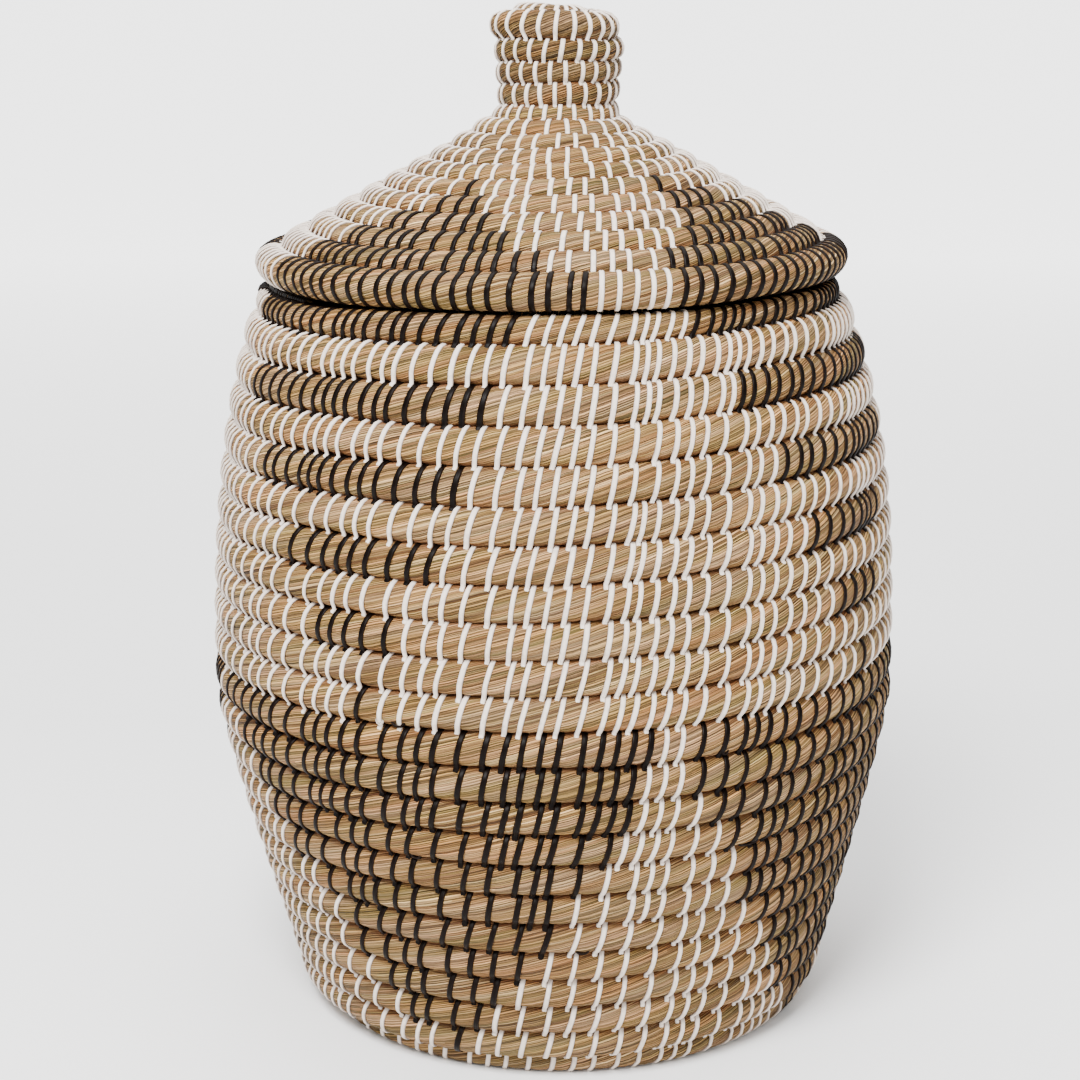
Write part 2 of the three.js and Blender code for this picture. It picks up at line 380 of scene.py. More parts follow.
# %% [markdown]
# ## The routes of the rolls
#
# Both rolls follow an outline: a path from the middle of the base, round a bent corner, out to
# the belly and in again to the mouth, and for the lid from the rim up the cone and the knob.
# The numbers are those of the solid model. The outline is walked in quarter millimetres, and
# then gives the place at any distance along it.

# %% Outline of the basket, in millimetres
foot_roll, mouth_roll = 18.3, 21.1
foot_radius, corner_radius = 134.5, 18.0
belly_radius, mouth_radius = 192.4, 151.8
belly_row, wall_rows = 10.6, 23.25
lower_fullness, upper_fullness = 1.16, 2.56
base_hole, base_pressed = 0.62 * foot_roll, foot_roll / 10
steps_per_turn = 14


def walk(r, z, reach, heading, step=0.25):
    """A path that starts at r and z: gives radius, height and heading at a distance."""
    marks = (np.arange(math.ceil(reach / step)) + 0.5) * step
    way = heading(marks)
    run = np.concatenate([[r], r + np.cumsum(np.cos(way)) * step])
    rise = np.concatenate([[z], z + np.cumsum(np.sin(way)) * step])
    way = np.concatenate([way[:1], way])
    marks = np.arange(len(run)) * step
    return lambda d: (np.interp(d, marks, run), np.interp(d, marks, rise), np.interp(d, marks, way))


def body_roll_at(turn):
    return foot_roll + (mouth_roll - foot_roll) * np.maximum(turn, 0) / wall_rows


def body_reach_at(turn):
    return turn * (foot_roll + body_roll_at(turn)) / 2


wall_reach = body_reach_at(wall_rows)
belly_reach = body_reach_at(belly_row)
foot_lean = 0.0
for _ in range(10):
    corner_reach = corner_radius * (math.pi / 2 - foot_lean)
    swell = belly_radius - foot_radius - corner_radius * math.cos(foot_lean)
    foot_lean = math.asin(lower_fullness * swell / (belly_reach - corner_reach))
base_turns = math.floor((foot_radius - base_hole) / foot_roll * steps_per_turn) / steps_per_turn
base_reach = base_turns * foot_roll


def body_heading(distance):
    along = distance - base_reach
    left = np.clip((belly_reach - along) / (belly_reach - corner_reach), 0, 1)
    gone = np.clip((along - belly_reach) / (wall_reach - belly_reach), 0, None)
    lean = upper_fullness * (belly_radius - mouth_radius) / (wall_reach - belly_reach)
    return np.select(
        [along < 0, along < corner_reach, along < belly_reach],
        [0 * along, along / corner_radius,
         np.arccos(math.sin(foot_lean) * left ** (lower_fullness - 1))],
        np.arccos(-lean * gone ** (upper_fullness - 1)))


body_outline = walk(foot_radius - base_reach, foot_roll / 2 - base_pressed,
                    base_reach + wall_reach, body_heading)
print(f"the basket's roll has {base_turns:.2f} turns on the base and {wall_rows} on the wall")

# %% The basket's last turn thins away
tail_angle = -58 * degree
mouth_trim, mouth_swell = 3.0, 1.5
tail_bed, tail_bed_past = 4.0, -0.06
bed_before, bed_after = 0.2, 0.12
squeeze, thinnest = 0.15, 0.5


def body_top_at(turn):
    """How far up the outline the top of a turn lies. The last turn is level, with a bed that
    is pressed into it for the tail."""
    climbing = body_reach_at(turn) + body_roll_at(turn) / 2
    past = turn - (wall_rows - 1)
    into = past - tail_bed_past
    into = np.minimum(into / np.where(into > 0, bed_after, bed_before), 1)
    bedded = np.maximum(np.cos(math.pi / 2 * into), 0)
    level = body_reach_at(wall_rows - 1) + body_roll_at(wall_rows - 1) / 2 - mouth_trim
    level = level + mouth_swell * np.sin(math.pi * past) - tail_bed * bedded
    return np.where(past < -0.5, climbing, np.minimum(climbing, level))


def body_place(turn):
    """Radius, height, heading, half size along and across the outline, and angle of a turn."""
    size = body_roll_at(turn)
    low, high = body_top_at(turn - 1), body_top_at(turn)
    r, z, heading = body_outline(base_reach + (low + high) / 2)
    across = size / 2 * np.sqrt(np.maximum(high - low, thinnest) / size)
    angle = tail_angle + 2 * math.pi * (turn - wall_rows)
    return r, z, heading, (high - low) / 2 + squeeze, across, angle


tail_r, tail_z = body_place(np.array(wall_rows))[:2]
print(f"the tail ends at radius {tail_r:.1f} and height {tail_z:.1f}")

# %% Outline of the lid
rim_roll, cone_top_roll, cone_slope, rim_overhang = 18.75, 13.0, 30.4 * degree, 2.5
rim_tail_angle, rim_tail_turns, rim_tail_share = 180 * degree, 0.2, 0.3
knob_roll, knob_top_roll, knob_radius, knob_bend = 12.3, 16.5, 28.2, 11.0
knob_rows, knob_flare = 3.4, 4 * degree
dome_bend, dome_slope, dome_hole = 5.0, 6 * degree, 0.5

mouth_r = float(body_place(np.array(wall_rows - 0.5))[0])
rim_start = mouth_r + rim_overhang + rim_roll / 2 * math.cos(cone_slope)
cone_end = knob_radius + knob_bend * (math.cos(knob_flare) - math.sin(cone_slope))
cone_reach = (rim_start - cone_end) / math.cos(cone_slope)
knob_foot = cone_reach + knob_bend * (math.pi / 2 - cone_slope + knob_flare)
knob_top = knob_foot + knob_rows * knob_roll
dome_foot = knob_top + dome_bend * (math.pi / 2 - dome_slope + knob_flare)
dome_radius = knob_radius + knob_rows * knob_roll * math.sin(knob_flare) \
    - dome_bend * (math.cos(knob_flare) - math.sin(dome_slope))
lid_reach = dome_foot + (dome_radius - dome_hole - knob_top_roll / 2) / math.cos(dome_slope)


def lid_heading(d):
    return np.select(
        [d < cone_reach, d < knob_foot, d < knob_top, d < dome_foot],
        [math.pi - cone_slope + 0 * d, math.pi - cone_slope - (d - cone_reach) / knob_bend,
         math.pi / 2 - knob_flare + 0 * d, math.pi / 2 - knob_flare + (d - knob_top) / dome_bend],
        math.pi - dome_slope)


lid_outline = walk(rim_start, 0.0, lid_reach, lid_heading)
print(f"the lid's outline is {lid_reach:.0f} mm long, {cone_reach:.0f} of them on the cone")

# %% Turns of the lid
lid_steps = 64


def lid_roll_at(d):
    bent = np.clip((d - cone_reach) / (knob_foot - cone_reach), 0, 1)
    cone = rim_roll + (cone_top_roll - rim_roll) * np.minimum(d / cone_reach, 1)
    topped = np.clip((d - knob_top + knob_roll) / knob_top_roll, 0, 1)
    return cone + (knob_roll - cone_top_roll) * bent + (knob_top_roll - knob_roll) * topped


lid_reached = [0.0]
while lid_reached[-1] < lid_reach:
    lid_reached.append(lid_reached[-1] + float(lid_roll_at(lid_reached[-1])) / lid_steps)
lid_turns = (len(lid_reached) - 2) / lid_steps
knob_mark = next(i for i, d in enumerate(lid_reached) if d >= knob_foot)
knob_turn = round(knob_mark / lid_steps * steps_per_turn) / steps_per_turn


def lid_place(turn):
    """The same for the lid as body_place for the basket."""
    d = np.interp(turn, np.arange(len(lid_reached)) / lid_steps, lid_reached)
    full = lid_roll_at(d)
    share = rim_tail_share + (1 - rim_tail_share) * np.clip(turn / rim_tail_turns, 0, 1)
    r, z, heading = lid_outline(d + full * (1 - share) / 2)
    half = full * share / 2
    return r, z, heading, half + squeeze, half, rim_tail_angle + 2 * math.pi * turn


print(f"the lid's roll has {lid_turns:.2f} turns, the knob begins at {knob_turn:.2f}")

# %% [markdown]
# ## How a stitch sits
#
# The maker winds the strip over the roll and through the top of the turn below, close to the
# left of the stitch that is already there, so the stitches line up in slanting columns. When
# the wall widens, a stitch is slipped in between two others. Placing them evenly would be
# quicker, but then the rows would look printed. Here each stitch is placed beside the one
# below it, as the maker does.

# %% Where the stitches go
most_lag, lag_share = 3, 0.1
slip_in_at, narrowest, widest = 1.5, 0.7, 1.6
first_spread, spread = 0.14, 0.035


def bind(start, end, per_turn, drift, pull, seed):
    """The turn at which each stitch lies. By turn, per_turn is how many are wanted, drift how
    far a column moves on, and pull how well a stitch keeps to its column. The distance to the
    next stitch is a gap times the wanted step, and lag says how many stitches are owed."""
    rng = np.random.default_rng(seed)
    turns = [start]
    wanted = 0.0
    while turns[-1] < end:
        here = turns[-1]
        step = 1 / per_turn(here)
        gap = 1.0
        lag = min(max(wanted - len(turns) + 1, -most_lag), most_lag)
        nearest = (0.5 - lag_share * min(lag, 0)) * step
        below = bisect_left(turns, here - 1 - drift(here) + nearest)
        if here > turns[0] + 1 and below < len(turns):
            gap = (turns[below] + 1 + drift(here) - here) / step
            kept = gap < slip_in_at - lag_share * lag
            gap = 1 + pull(here) * (gap - 1) if kept else max(gap / 2, narrowest)
        gap = min(gap, widest) + rng.normal(0, first_spread if here < start + 1 else spread)
        wanted += gap
        turns.append(here + gap * step)
    return np.array(turns[:-1])


trial = bind(0.0, 2.0, lambda turn: 8, lambda turn: 0.0, lambda turn: 0.9, 1)
print("two turns bound with eight stitches each:", trial.round(2))

# %% [markdown]
# ## Handwork is never quite true
#
# The rows of the real basket waver by a millimetre or so, its foot stands a little to the right
# of its belly, and its knob is tipped. A true body of revolution would show at once beside it.
# So every point is moved by the same few slow waves, wherever roll and strips lie on each other.

# %% Unevenness
# each wave: height in mm, times round the basket, mm of height per radian, and where it begins
waves_out = [(0.8, 2, 90, 0.7), (0.5, 3, -60, 1.9), (0.3, 7, 35, 0)]
waves_up = [(0.55, 2, 70, 0.5), (0.35, 5, -45, 0)]
still_below, still_within = 40, 60
foot_aside, shoulder_aside, waist, shoulder = 3.3, 1.0, 200, 435
knob_from, knob_high, knob_rise = 518, 62, 2.0
knob_tips = [(512, 0.045), (558, 0.05)]
tip_over = 15


def waver(r, z, angle):
    """The small unevenness of handwork, the same for everything that lies at one place."""
    out, up = [sum(height * np.sin(times * angle + start + z / reach)
                   for height, times, reach, start in waves) for waves in (waves_out, waves_up)]
    share = np.clip(z / still_below, 0, 1) * np.clip(r / still_within, 0, 1)
    return r + out * share, z + up * share


def askew(x, z):
    """Moves the foot and the shoulder aside, and raises and tips the knob."""
    aside = foot_aside * np.clip(1 - z / waist, 0, 1) \
        - shoulder_aside * np.clip((z - waist) / (shoulder - waist), 0, 1)
    z = z + knob_rise * np.sin(np.pi * np.clip((z - knob_from) / knob_high, 0, 1))
    tip = sum(slope * np.clip((z - height) / tip_over, 0, 1) for height, slope in knob_tips)
    return x + aside, z - x * tip


print("the foot stands", foot_aside, "mm aside, the knob tips by",
      round(math.degrees(sum(slope for _, slope in knob_tips)), 1), "degrees")

# %% A roll with its stitches
roundness = 2.35
smallest_radius = 12
column_gap, column_share = 3.2, 0.9
end_gap = 0.3
lean_change, lean_spread = 0.5, 0.4
slant_share, slant_dip = 0.5, 0.06


class Roll:
    """A roll of grass along its route, with the stitches that bind it."""

    def __init__(self, place, start, end, per_turn, lean, pull, black, seed, shift=(0.0, 0.0)):
        self.place, self.start, self.end, self.shift = place, start, end, shift
        rng = np.random.default_rng(seed + 1)

        def drift(turn):
            round_it = 2 * math.pi * float(place(np.array(turn))[0])
            return (column_share * lean(turn) - column_gap) / round_it

        first, last = start + end_gap / per_turn(start), end - end_gap / per_turn(end)
        self.turns = bind(first, last, per_turn, drift, pull, seed)
        k = np.arange(len(self.turns))
        # the lean changes slowly along the roll, and a little from one strip to the next
        slow = np.sin(k / 9.3) + np.sin(k / 23.0 + 1.0) + np.sin(k / 61.0 + 2.0)
        self.leans = np.array([lean(t) for t in self.turns]) + lean_change * slow \
            + rng.normal(0, lean_spread, len(k))
        self.black = np.array([black(t, self.degrees(t)) for t in self.turns])
        # chance numbers for a strip's depth, width and place on its map, and one to spare
        self.random = rng.random((len(k), 4))
        print(f"{len(k)} stitches, {int(self.black.sum())} of them black")

    def degrees(self, turn):
        return math.degrees(float(self.place(np.array(turn))[5]))

    def skin(self, turn, phi, lift=0.0, scale=1.0):
        """A point on the roll. phi is 0 on the outside and a quarter turn on top."""
        r, z, heading, along, across, angle = self.place(turn)
        c, s = np.cos(phi), np.sin(phi)
        swell = (np.abs(c) ** roundness + np.abs(s) ** roundness) ** (-1 / roundness)
        out = (across + lift) * scale * swell * c
        up = (along + lift) * scale * swell * s
        r, z = waver(r + out * np.sin(heading) + up * np.cos(heading),
                     z - out * np.cos(heading) + up * np.sin(heading) + self.shift[1], angle)
        x, z = askew(r * np.sin(angle), z)
        return np.stack([x + self.shift[0], -r * np.cos(angle), z], -1)

    def contacts(self, turn):
        """Where this turn meets the next above and the one below, and where that one meets it."""
        above, here, below = [self.place(turn + step) for step in (1, 0, -1)]

        def direction(a, b):
            away, rise, heading = b[0] - a[0], b[1] - a[1], a[2]
            return np.arctan2(away * np.cos(heading) + rise * np.sin(heading),
                              away * np.sin(heading) - rise * np.cos(heading))

        return direction(here, above), direction(here, below), direction(below, here)

    def slant(self, turn, phi, lean):
        """The turn moved sideways as the stitch leans, by phi."""
        s = np.sin(phi)
        side = lean * (slant_share * s + slant_dip * (s * s - 1))
        return turn + side / (2 * math.pi * np.maximum(self.place(turn)[0], smallest_radius))


print(f"at 45 degrees a roll is {2 ** (0.5 - 1 / roundness):.2f} times as far across as a circle")

# %% [markdown]
# ## Laying a grid of points as a mesh
#
# Rolls and strips are both tubes, a row of rings joined by four-sided faces. One function lays
# such tubes, many at once, from an array of points. The faces are also laid out flat, roll by
# roll and strip by strip, for a picture that the finish can be stored in, so that grass and
# plastic would get the same number of dots per millimetre everywhere.

# %% Tubes from an array of points
def lay_tubes(name, points):
    """points is (tubes, rings, corners, 3) in mm."""
    n, m, k = points.shape[:3]
    mesh = bpy.data.meshes.new(name)
    mesh.vertices.add(n * m * k)
    mesh.vertices.foreach_set("co", (points * mm).astype(np.float32).ravel())
    index = np.arange(n * m * k).reshape(n, m, k)
    beside = np.roll(index, -1, axis=2)
    quads = np.stack([index[:, :-1], index[:, 1:], beside[:, 1:], beside[:, :-1]], axis=-1)
    mesh.loops.add(quads.size)
    mesh.loops.foreach_set("vertex_index", quads.ravel())
    faces = quads.size // 4
    mesh.polygons.add(faces)
    mesh.polygons.foreach_set("loop_start", np.arange(faces) * 4)
    mesh.update(calc_edges=True)
    mesh.polygons.foreach_set("use_smooth", np.ones(faces, bool))
    return mesh


def at_faces(w):
    """(tubes, rings, corners + 1) values as they lie at the four corners of each face."""
    return np.stack([w[:, :-1, :-1], w[:, 1:, :-1], w[:, 1:, 1:], w[:, :-1, 1:]], -1)


def add_map(mesh, name, u, v):
    layer = mesh.uv_layers.new(name=name)
    layer.data.foreach_set("uv", np.stack([u, v], -1).astype(np.float32).ravel())


def add_piece(name, mesh, finish, body):
    mesh.uv_layers["OFBake"].active = True
    mesh.uv_layers["OFBake"].active_render = True
    mesh.materials.append(finish)
    mesh.validate()
    made = bpy.data.objects.new(name, mesh)
    bpy.context.scene.collection.objects.link(made)
    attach(made, body)
    return made


# %% [markdown]
# ## The grass rolls
#
# Between two stitches the grass swells like a small pillow, and under each strip it is pinched.
# The rings of the mesh therefore stand at the stitches and between them, and lean as the
# stitches lean. The stems run round the roll as they go along it, like the strands of a loose
# rope, because the maker twists them while feeding in new ones.

# %% The rings of a roll
sides = 32
ring_places = (0.0, 0.2, 0.5, 0.8)
bulges = (-0.65, 0.0, 0.3, 0.0)
end_rings, end_length, end_size = 4, 6, 0.02
least_radius = 10


def blunt(away):
    """The share of a roll's thickness at some millimetres from its end."""
    return end_size + (1 - end_size) * np.sqrt(1 - (1 - np.clip(away / end_length, 0, 1)) ** 2)


def roll_rings(roll, first, last):
    """The turn, the bulge and the distance of each ring, and what its size is multiplied by."""
    ks = np.arange(len(roll.turns))
    q = (np.arange(first, last)[:, None] + np.array(ring_places)[None, :]).ravel()
    turn = np.interp(np.append(q, last), ks, roll.turns)
    bulge = np.append(np.tile(bulges, last - first), bulges[0])
    at_start, at_end = first == 0, last == ks[-1]
    if at_start:
        turn = np.concatenate([np.linspace(roll.start, turn[0], end_rings + 1)[:-1], turn])
    if at_end:
        turn = np.concatenate([turn, np.linspace(turn[-1], roll.end, end_rings + 1)[1:]])
    bulge = np.pad(bulge, (end_rings * at_start, end_rings * at_end))
    radius = np.maximum(roll.place(turn)[0], least_radius)
    steps = np.diff(turn) * 2 * math.pi * (radius[1:] + radius[:-1]) / 2
    far = np.concatenate([[0], np.cumsum(steps)])
    size = np.ones(len(turn))
    if at_start:
        size *= blunt(far)
    if at_end:
        size *= blunt(far[-1] - far)
    return turn, bulge, far, size


print(f"a ring has {sides} points, and from one stitch to the next there are {len(ring_places)}")

# %% Rolls
unevenness, uneven_length = 0.22, 31
stem_map_per_stitch, roll_round, map_margin = 10.0, 62, 0.02


def map_roll(mesh, rings, reach):
    """Lays a roll out flat as ribbons beside each other, each about as wide as it is round."""
    ribbons = max(1, round(math.sqrt(reach / roll_round)))
    per_ribbon = math.ceil((rings - 1) / ribbons)
    i, j = np.arange(rings - 1)[:, None], np.arange(sides)[None, :]
    ribbon = i // per_ribbon
    low = (i - ribbon * per_ribbon) / per_ribbon + 0.0 * j
    high = low + 1 / per_ribbon
    left, right = [(ribbon + map_margin + (1 - 2 * map_margin) * side / sides) / ribbons
                   for side in (j, j + 1)]
    add_map(mesh, "OFBake", np.stack([left, left, right, right], -1),
            np.stack([low, high, high, low], -1))


def roll_piece(name, roll, first, last, body, low=None, twist=0.0325, finish=grass_finish):
    """The stretch of a roll from one stitch to another, with blunt ends at the roll's own ends."""
    turn, bulge, far, size = roll_rings(roll, first, last)
    lean = np.interp(turn, roll.turns, roll.leans)
    phi = 2 * math.pi * np.arange(sides)[None, :] / sides + (far * twist)[:, None]
    wave, other = [np.sin(far / uneven_length + start)[:, None] for start in (0, 1.7)]
    uneven = unevenness * (np.sin(phi * 2 + wave * 2) + np.sin(phi * 3 + other * 3) * 0.7)
    leaning = roll.slant(turn[:, None], phi, lean[:, None])
    points = roll.skin(leaning, phi, bulge[:, None] + uneven, size[:, None])
    if low is not None:
        points[..., 2] = np.maximum(points[..., 2], low)
    mesh = lay_tubes(name, points[None])

    grid = (1, len(turn), sides + 1)
    round_it = np.broadcast_to(np.arange(sides + 1) / sides, grid)
    along_it = ((far + first * stem_map_per_stitch) * mm)[None, :, None]
    add_map(mesh, "stems", at_faces(round_it), at_faces(np.broadcast_to(along_it, grid)))
    # the side map: near 1 where this turn meets the one above or below; it places the painted shade
    # in those creases
    above, below, _ = roll.contacts(turn[:, None])
    side = np.maximum(np.where(turn[:, None] + 1 < roll.end, np.cos(phi - above), -1),
                      np.where(turn[:, None] - 1 > roll.start, np.cos(phi - below), -1))
    side = at_faces(np.concatenate([side, side[:, :1]], 1)[None])
    add_map(mesh, "side", side, side)
    map_roll(mesh, len(turn), far[-1])
    print(f"{name}: {len(mesh.polygons)} faces, {far[-1] / 1000:.1f} m of roll")
    return add_piece(name, mesh, finish, body)


# %% [markdown]
# ## The strips
#
# A strip comes out of the seam above, runs over the outside of the roll and goes into the top
# of the turn below. On the inside of the basket the same strip runs back up. The two halves are
# separate pieces here, since nobody sees them meet inside the seams. The cut through a strip is
# a low bow with a groove along its middle.

# %% The cut and the run of a strip
strip_thickness = 0.9
outer_bow = np.array([(-1, 0.1), (-0.78, 0.72), (-0.36, 1.0), (0, 0.8), (0.36, 1.0), (0.78, 0.72),
                      (1, 0.1), (0.55, -0.5), (-0.55, -0.5)])
inner_bow = np.array([(-1, 0.1), (-0.5, 0.9), (0.5, 0.9), (1, 0.1), (0, -0.5)])
# run is over the roll itself, tuck into the turn below, and sink how far it stands off that turn
outer_run = np.radians([108, 94, 80, 65, 48, 28, 6, -14, -29, -41])
outer_tuck = np.radians([61, 54, 50.5])
outer_sink = np.array([0.6, 0.05, -1.1])
inner_run = np.radians([76, 92, 112, 136, 162, 188, 212, 230])
inner_tuck = np.radians([126, 138])
inner_sink = np.array([1.0, -1.0])
whole_run = np.radians(np.arange(100, -261, -20))
print(f"outside, a strip has {len(outer_bow)} points in each of",
      f"{len(outer_run) + len(outer_tuck)} rings, inside {len(inner_bow)} in each of",
      f"{len(inner_run) + len(inner_tuck)}")

# %% Strips along their paths
strip_map_length, strip_map_spread = 30, 400
strip_cell_shape, cell_margin_x, cell_margin_y = 4, 0.06, 0.03


def lay_strips(name, path, above, wide, chance, bow, finish, body, low=None):
    """Strips along their paths, in mm. above is each path moved 1 mm off the roll."""
    way = np.gradient(path, axis=1)
    way /= np.linalg.norm(way, axis=-1, keepdims=True)
    side = np.cross(way, above - path).sum(1, keepdims=True)
    side = side - (side * way).sum(-1, keepdims=True) * way
    side /= np.linalg.norm(side, axis=-1, keepdims=True)
    normal = np.cross(side, way)
    points = (path[:, :, None] + side[:, :, None] * bow[:, :1] * wide[..., None, None] / 2
              + normal[:, :, None] * bow[:, 1:] * strip_thickness)
    if low is not None:
        points[..., 2] = np.maximum(points[..., 2], low)
    mesh = lay_tubes(name, points)

    n, m, k = points.shape[:3]
    grid = (n, m, k + 1)
    across = np.broadcast_to(np.append(bow[:, 0], bow[0, 0]), grid)
    along = np.linspace(0, strip_map_length, m)[None, :] + strip_map_spread * chance[:, 2:3]
    add_map(mesh, "strip", at_faces(across), at_faces(np.broadcast_to(along[:, :, None], grid)))
    rows = max(1, round(math.sqrt(n / strip_cell_shape)))
    columns = math.ceil(n / rows)
    cell = np.arange(n)[:, None, None]
    u = (cell % columns + cell_margin_x + (1 - 2 * cell_margin_x) * np.arange(k + 1) / k) / columns
    v = np.arange(m)[:, None] / (m - 1)
    v = (cell // columns + cell_margin_y + (1 - 2 * cell_margin_y) * v) / rows
    u, v = [at_faces(np.broadcast_to(w, grid)) for w in (u, v)]
    add_map(mesh, "OFBake", u, v)
    add_piece(name, mesh, finish, body)
    print(f"{name}: {n} strips, {len(mesh.polygons)} faces")


print(f"in the stored picture a strip's cell is {strip_cell_shape} times as long as it is wide")

# %% Strips over a roll
tuck_spread, more_lean = np.radians(18), 0.1
narrowest_strip, wider_per_mm, wider_by_chance = 0.7, 0.024, 0.16


def strip_piece(name, roll, picks, finish, body, slot, wide, run, tuck, sinks, bow, low=None):
    """The strips of the picked stitches, from the seam above to the turn below."""
    n = len(picks)
    turn = roll.turns[picks][:, None]
    lean = roll.leans[picks][:, None]
    chance = roll.random[picks]
    phi = np.broadcast_to(run, (n, len(run)))
    if tuck is not None:
        top, bottom, under = roll.contacts(turn)
        half = math.pi if run[-1] > math.pi else -math.pi
        bottom = bottom + math.pi + half
        phi = top + (run - math.pi / 2) * (bottom - top) / half
    own = roll.slant(turn, phi, lean)
    path, above = [roll.skin(own, phi, lift) for lift in (0.0, 1.0)]
    if tuck is not None:
        # the deeper a strip goes, the less its place is fixed
        depth = (chance[:, :1] - 0.5) * tuck_spread * np.linspace(0.2, 1, len(tuck))
        foot_phi = tuck - math.pi / 2 + under + depth
        tuck_lean = lean * (1 + more_lean * np.arange(len(tuck)))
        foot = roll.slant(turn, np.full((n, 1), -math.pi / 2), tuck_lean) - 1
        path, above = [np.concatenate([line, roll.skin(foot, foot_phi, sinks + lift)], 1)
                       for line, lift in ((path, 0.0), (above, 1.0))]
    # a thicker roll is bound with wider strips
    wide = wide * (narrowest_strip + wider_per_mm * roll.place(turn)[3]
                   + wider_by_chance * chance[:, 1:2])
    lay_strips(name, path, above, wide * np.ones(path.shape[:2]), chance, bow, finish, body,
               low)


# %% All strips of a roll
white_wide, black_wide = 3.0, 3.3
strip_kinds = [("white", white_finish, "white_strip", white_wide),
               ("black", black_finish, "black_strip", black_wide)]
strip_sides = [("outside", outer_run, outer_tuck, outer_sink, outer_bow),
               ("inside", inner_run, inner_tuck, inner_sink, inner_bow)]


def dress(name, roll, body, parts, low=None):
    """All strips of a roll, outside and inside, in pieces of a size that travels well. Those of
    the first turn have no turn below and run round the roll."""
    for color, finish, slot, wide in strip_kinds:
        chosen = roll.black == (color == "black")
        later = np.flatnonzero(chosen & (roll.turns >= roll.start + 1))
        for side_name, *shape in strip_sides:
            cuts = np.array_split(later, parts if side_name == "outside" else 1)
            for i, picks in enumerate(cuts):
                label = f"{name}_{color}_{side_name}" + (f"_{i + 1}" if len(cuts) > 1 else "")
                if len(picks):
                    strip_piece(label, roll, picks, finish, body, slot, wide, *shape, low)
        first = np.flatnonzero(chosen & (roll.turns < roll.start + 1))
        if len(first):
            strip_piece(f"{name}_{color}_first_turn", roll, first, finish, body, slot, wide,
                        whole_run, None, None, outer_bow, low)


print("strips:", [(color, wide) for color, _, _, wide in strip_kinds])

# %% [markdown]
# ## The pattern
#
# The pattern repeats four times round the basket. In the lower half, black bands lean towards
# each other and white triangles stand between them. In the upper half every second row carries
# a black dash, and the dashes grow towards the mouth. On the lid, black triangles stand on the
# rim. Every edge was read off the picture as an angle, row by row, and the two sides that the
# picture hides repeat the two that it shows.

# %% Black or white
# the roll passes the front for the last time at turn first_row - 1, and that is row 1
first_row = wall_rows - 0.8389 + 1
belly_rows, band_rows = 12, 23
half_turns = (-360, -180, 0, 180, 360)
black_end, seam_at = 0.14, 171


def within(theta, spans):
    """Whether an angle lies in a span, or half a turn or a whole one from it."""
    return any(low <= theta + half <= high for low, high in spans for half in half_turns)


def body_black(turn, degrees):
    """Rows count down from 1 at the mouth, and theta goes to the right from the front."""
    if turn > wall_rows - black_end:
        return True
    theta = (degrees + seam_at) % 360 - seam_at
    row = round(first_row - (turn - theta / 360))
    if row > band_rows:
        return False
    if row >= belly_rows:
        j = row - belly_rows
        right = -1.6 * j - 0.18 * j * j
        return within(theta, [(-68.6 + 4.2 * j, 15.5 + right),
                              (20 + 2.2 * j + 0.115 * j * j, 105.5 + right)])
    if row % 2 == 0:
        return False
    i = belly_rows - 1 - row
    return within(theta, [(-32.5 - 4.15 * i, -28.5 + 2.45 * i), (58 - 3.2 * i, 61.4 + 2.7 * i)])


# by row from the lid's top, as it is seen: from and to in degrees
lid_spans = {
    5: [(-35.5, -29.5), (35.5, 41.5)], 6: [(-40, -24), (34, 51)], 7: [(-48, -17), (32, 65.5)],
    8: [(-55, -10), (28.5, 70)], 9: [(-62.5, -2), (23, 79)], 10: [(-66, 5.2), (20.8, 90)],
}


def lid_black(turn, degrees):
    theta = (degrees + 180) % 360 - 180
    row = max(lid_spans) - round(turn - 0.5 - theta / 360)
    return within(theta, lid_spans.get(row, []))


print("black rows on the lid:", sorted(lid_spans))

# %% [markdown]
# ## The basket
#
# The wall has from 80 stitches in its lowest turn to 120 at the mouth. The base has fewer the
# nearer they come to its middle. Where the tail ends, strip is wound so close that no grass
# shows. The roll is laid in five pieces, because one would be heavy to store and to load.

# %% Bind the basket
rows_known = [1, 3.5, 4, 8.5, 9, 12.5, 13, 14.5, 15, 16, 17.5, 18, 22.5, 23.2]
stitches_known = [120, 120, 116, 116, 114, 114, 111, 111, 102, 94, 94, 85, 85, 80]
tail_end, tail_stitches, fewest_stitches = 0.1, 330.0, 8
base_from_row, foot_stitches, foot_row_radius = 23.3, 80, 146
cuts_at = (0.0, 6.9, 12.8, 18.1)
floor_gap, strip_floor_gap = 0.9, 0.05


def body_stitches(turn):
    row = first_row - turn
    if turn > wall_rows - tail_end:
        return tail_stitches
    if row > base_from_row:
        radius = float(body_place(np.array(turn))[0])
        return max(foot_stitches * radius / foot_row_radius, fewest_stitches)
    return float(np.interp(row, rows_known, stitches_known))


body = Roll(body_place, -base_turns, wall_rows, body_stitches,
            lean=lambda turn: 4.3 + 0.035 * max(turn, 0), pull=lambda turn: 0.9,
            black=body_black, seed=7)
cuts = [0] + [int(np.searchsorted(body.turns, t)) for t in cuts_at] + [len(body.turns) - 1]
names = ["grass_base", "grass_wall_foot", "grass_wall_low", "grass_wall_high", "grass_wall_mouth"]
grass_pieces = [roll_piece(name, body, a, b, "basket", low=floor_gap)
                for name, a, b in zip(names, cuts, cuts[1:])]
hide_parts("base_coil")
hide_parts("wall_coil")
dress("basket", body, "basket", 3, low=strip_floor_gap)

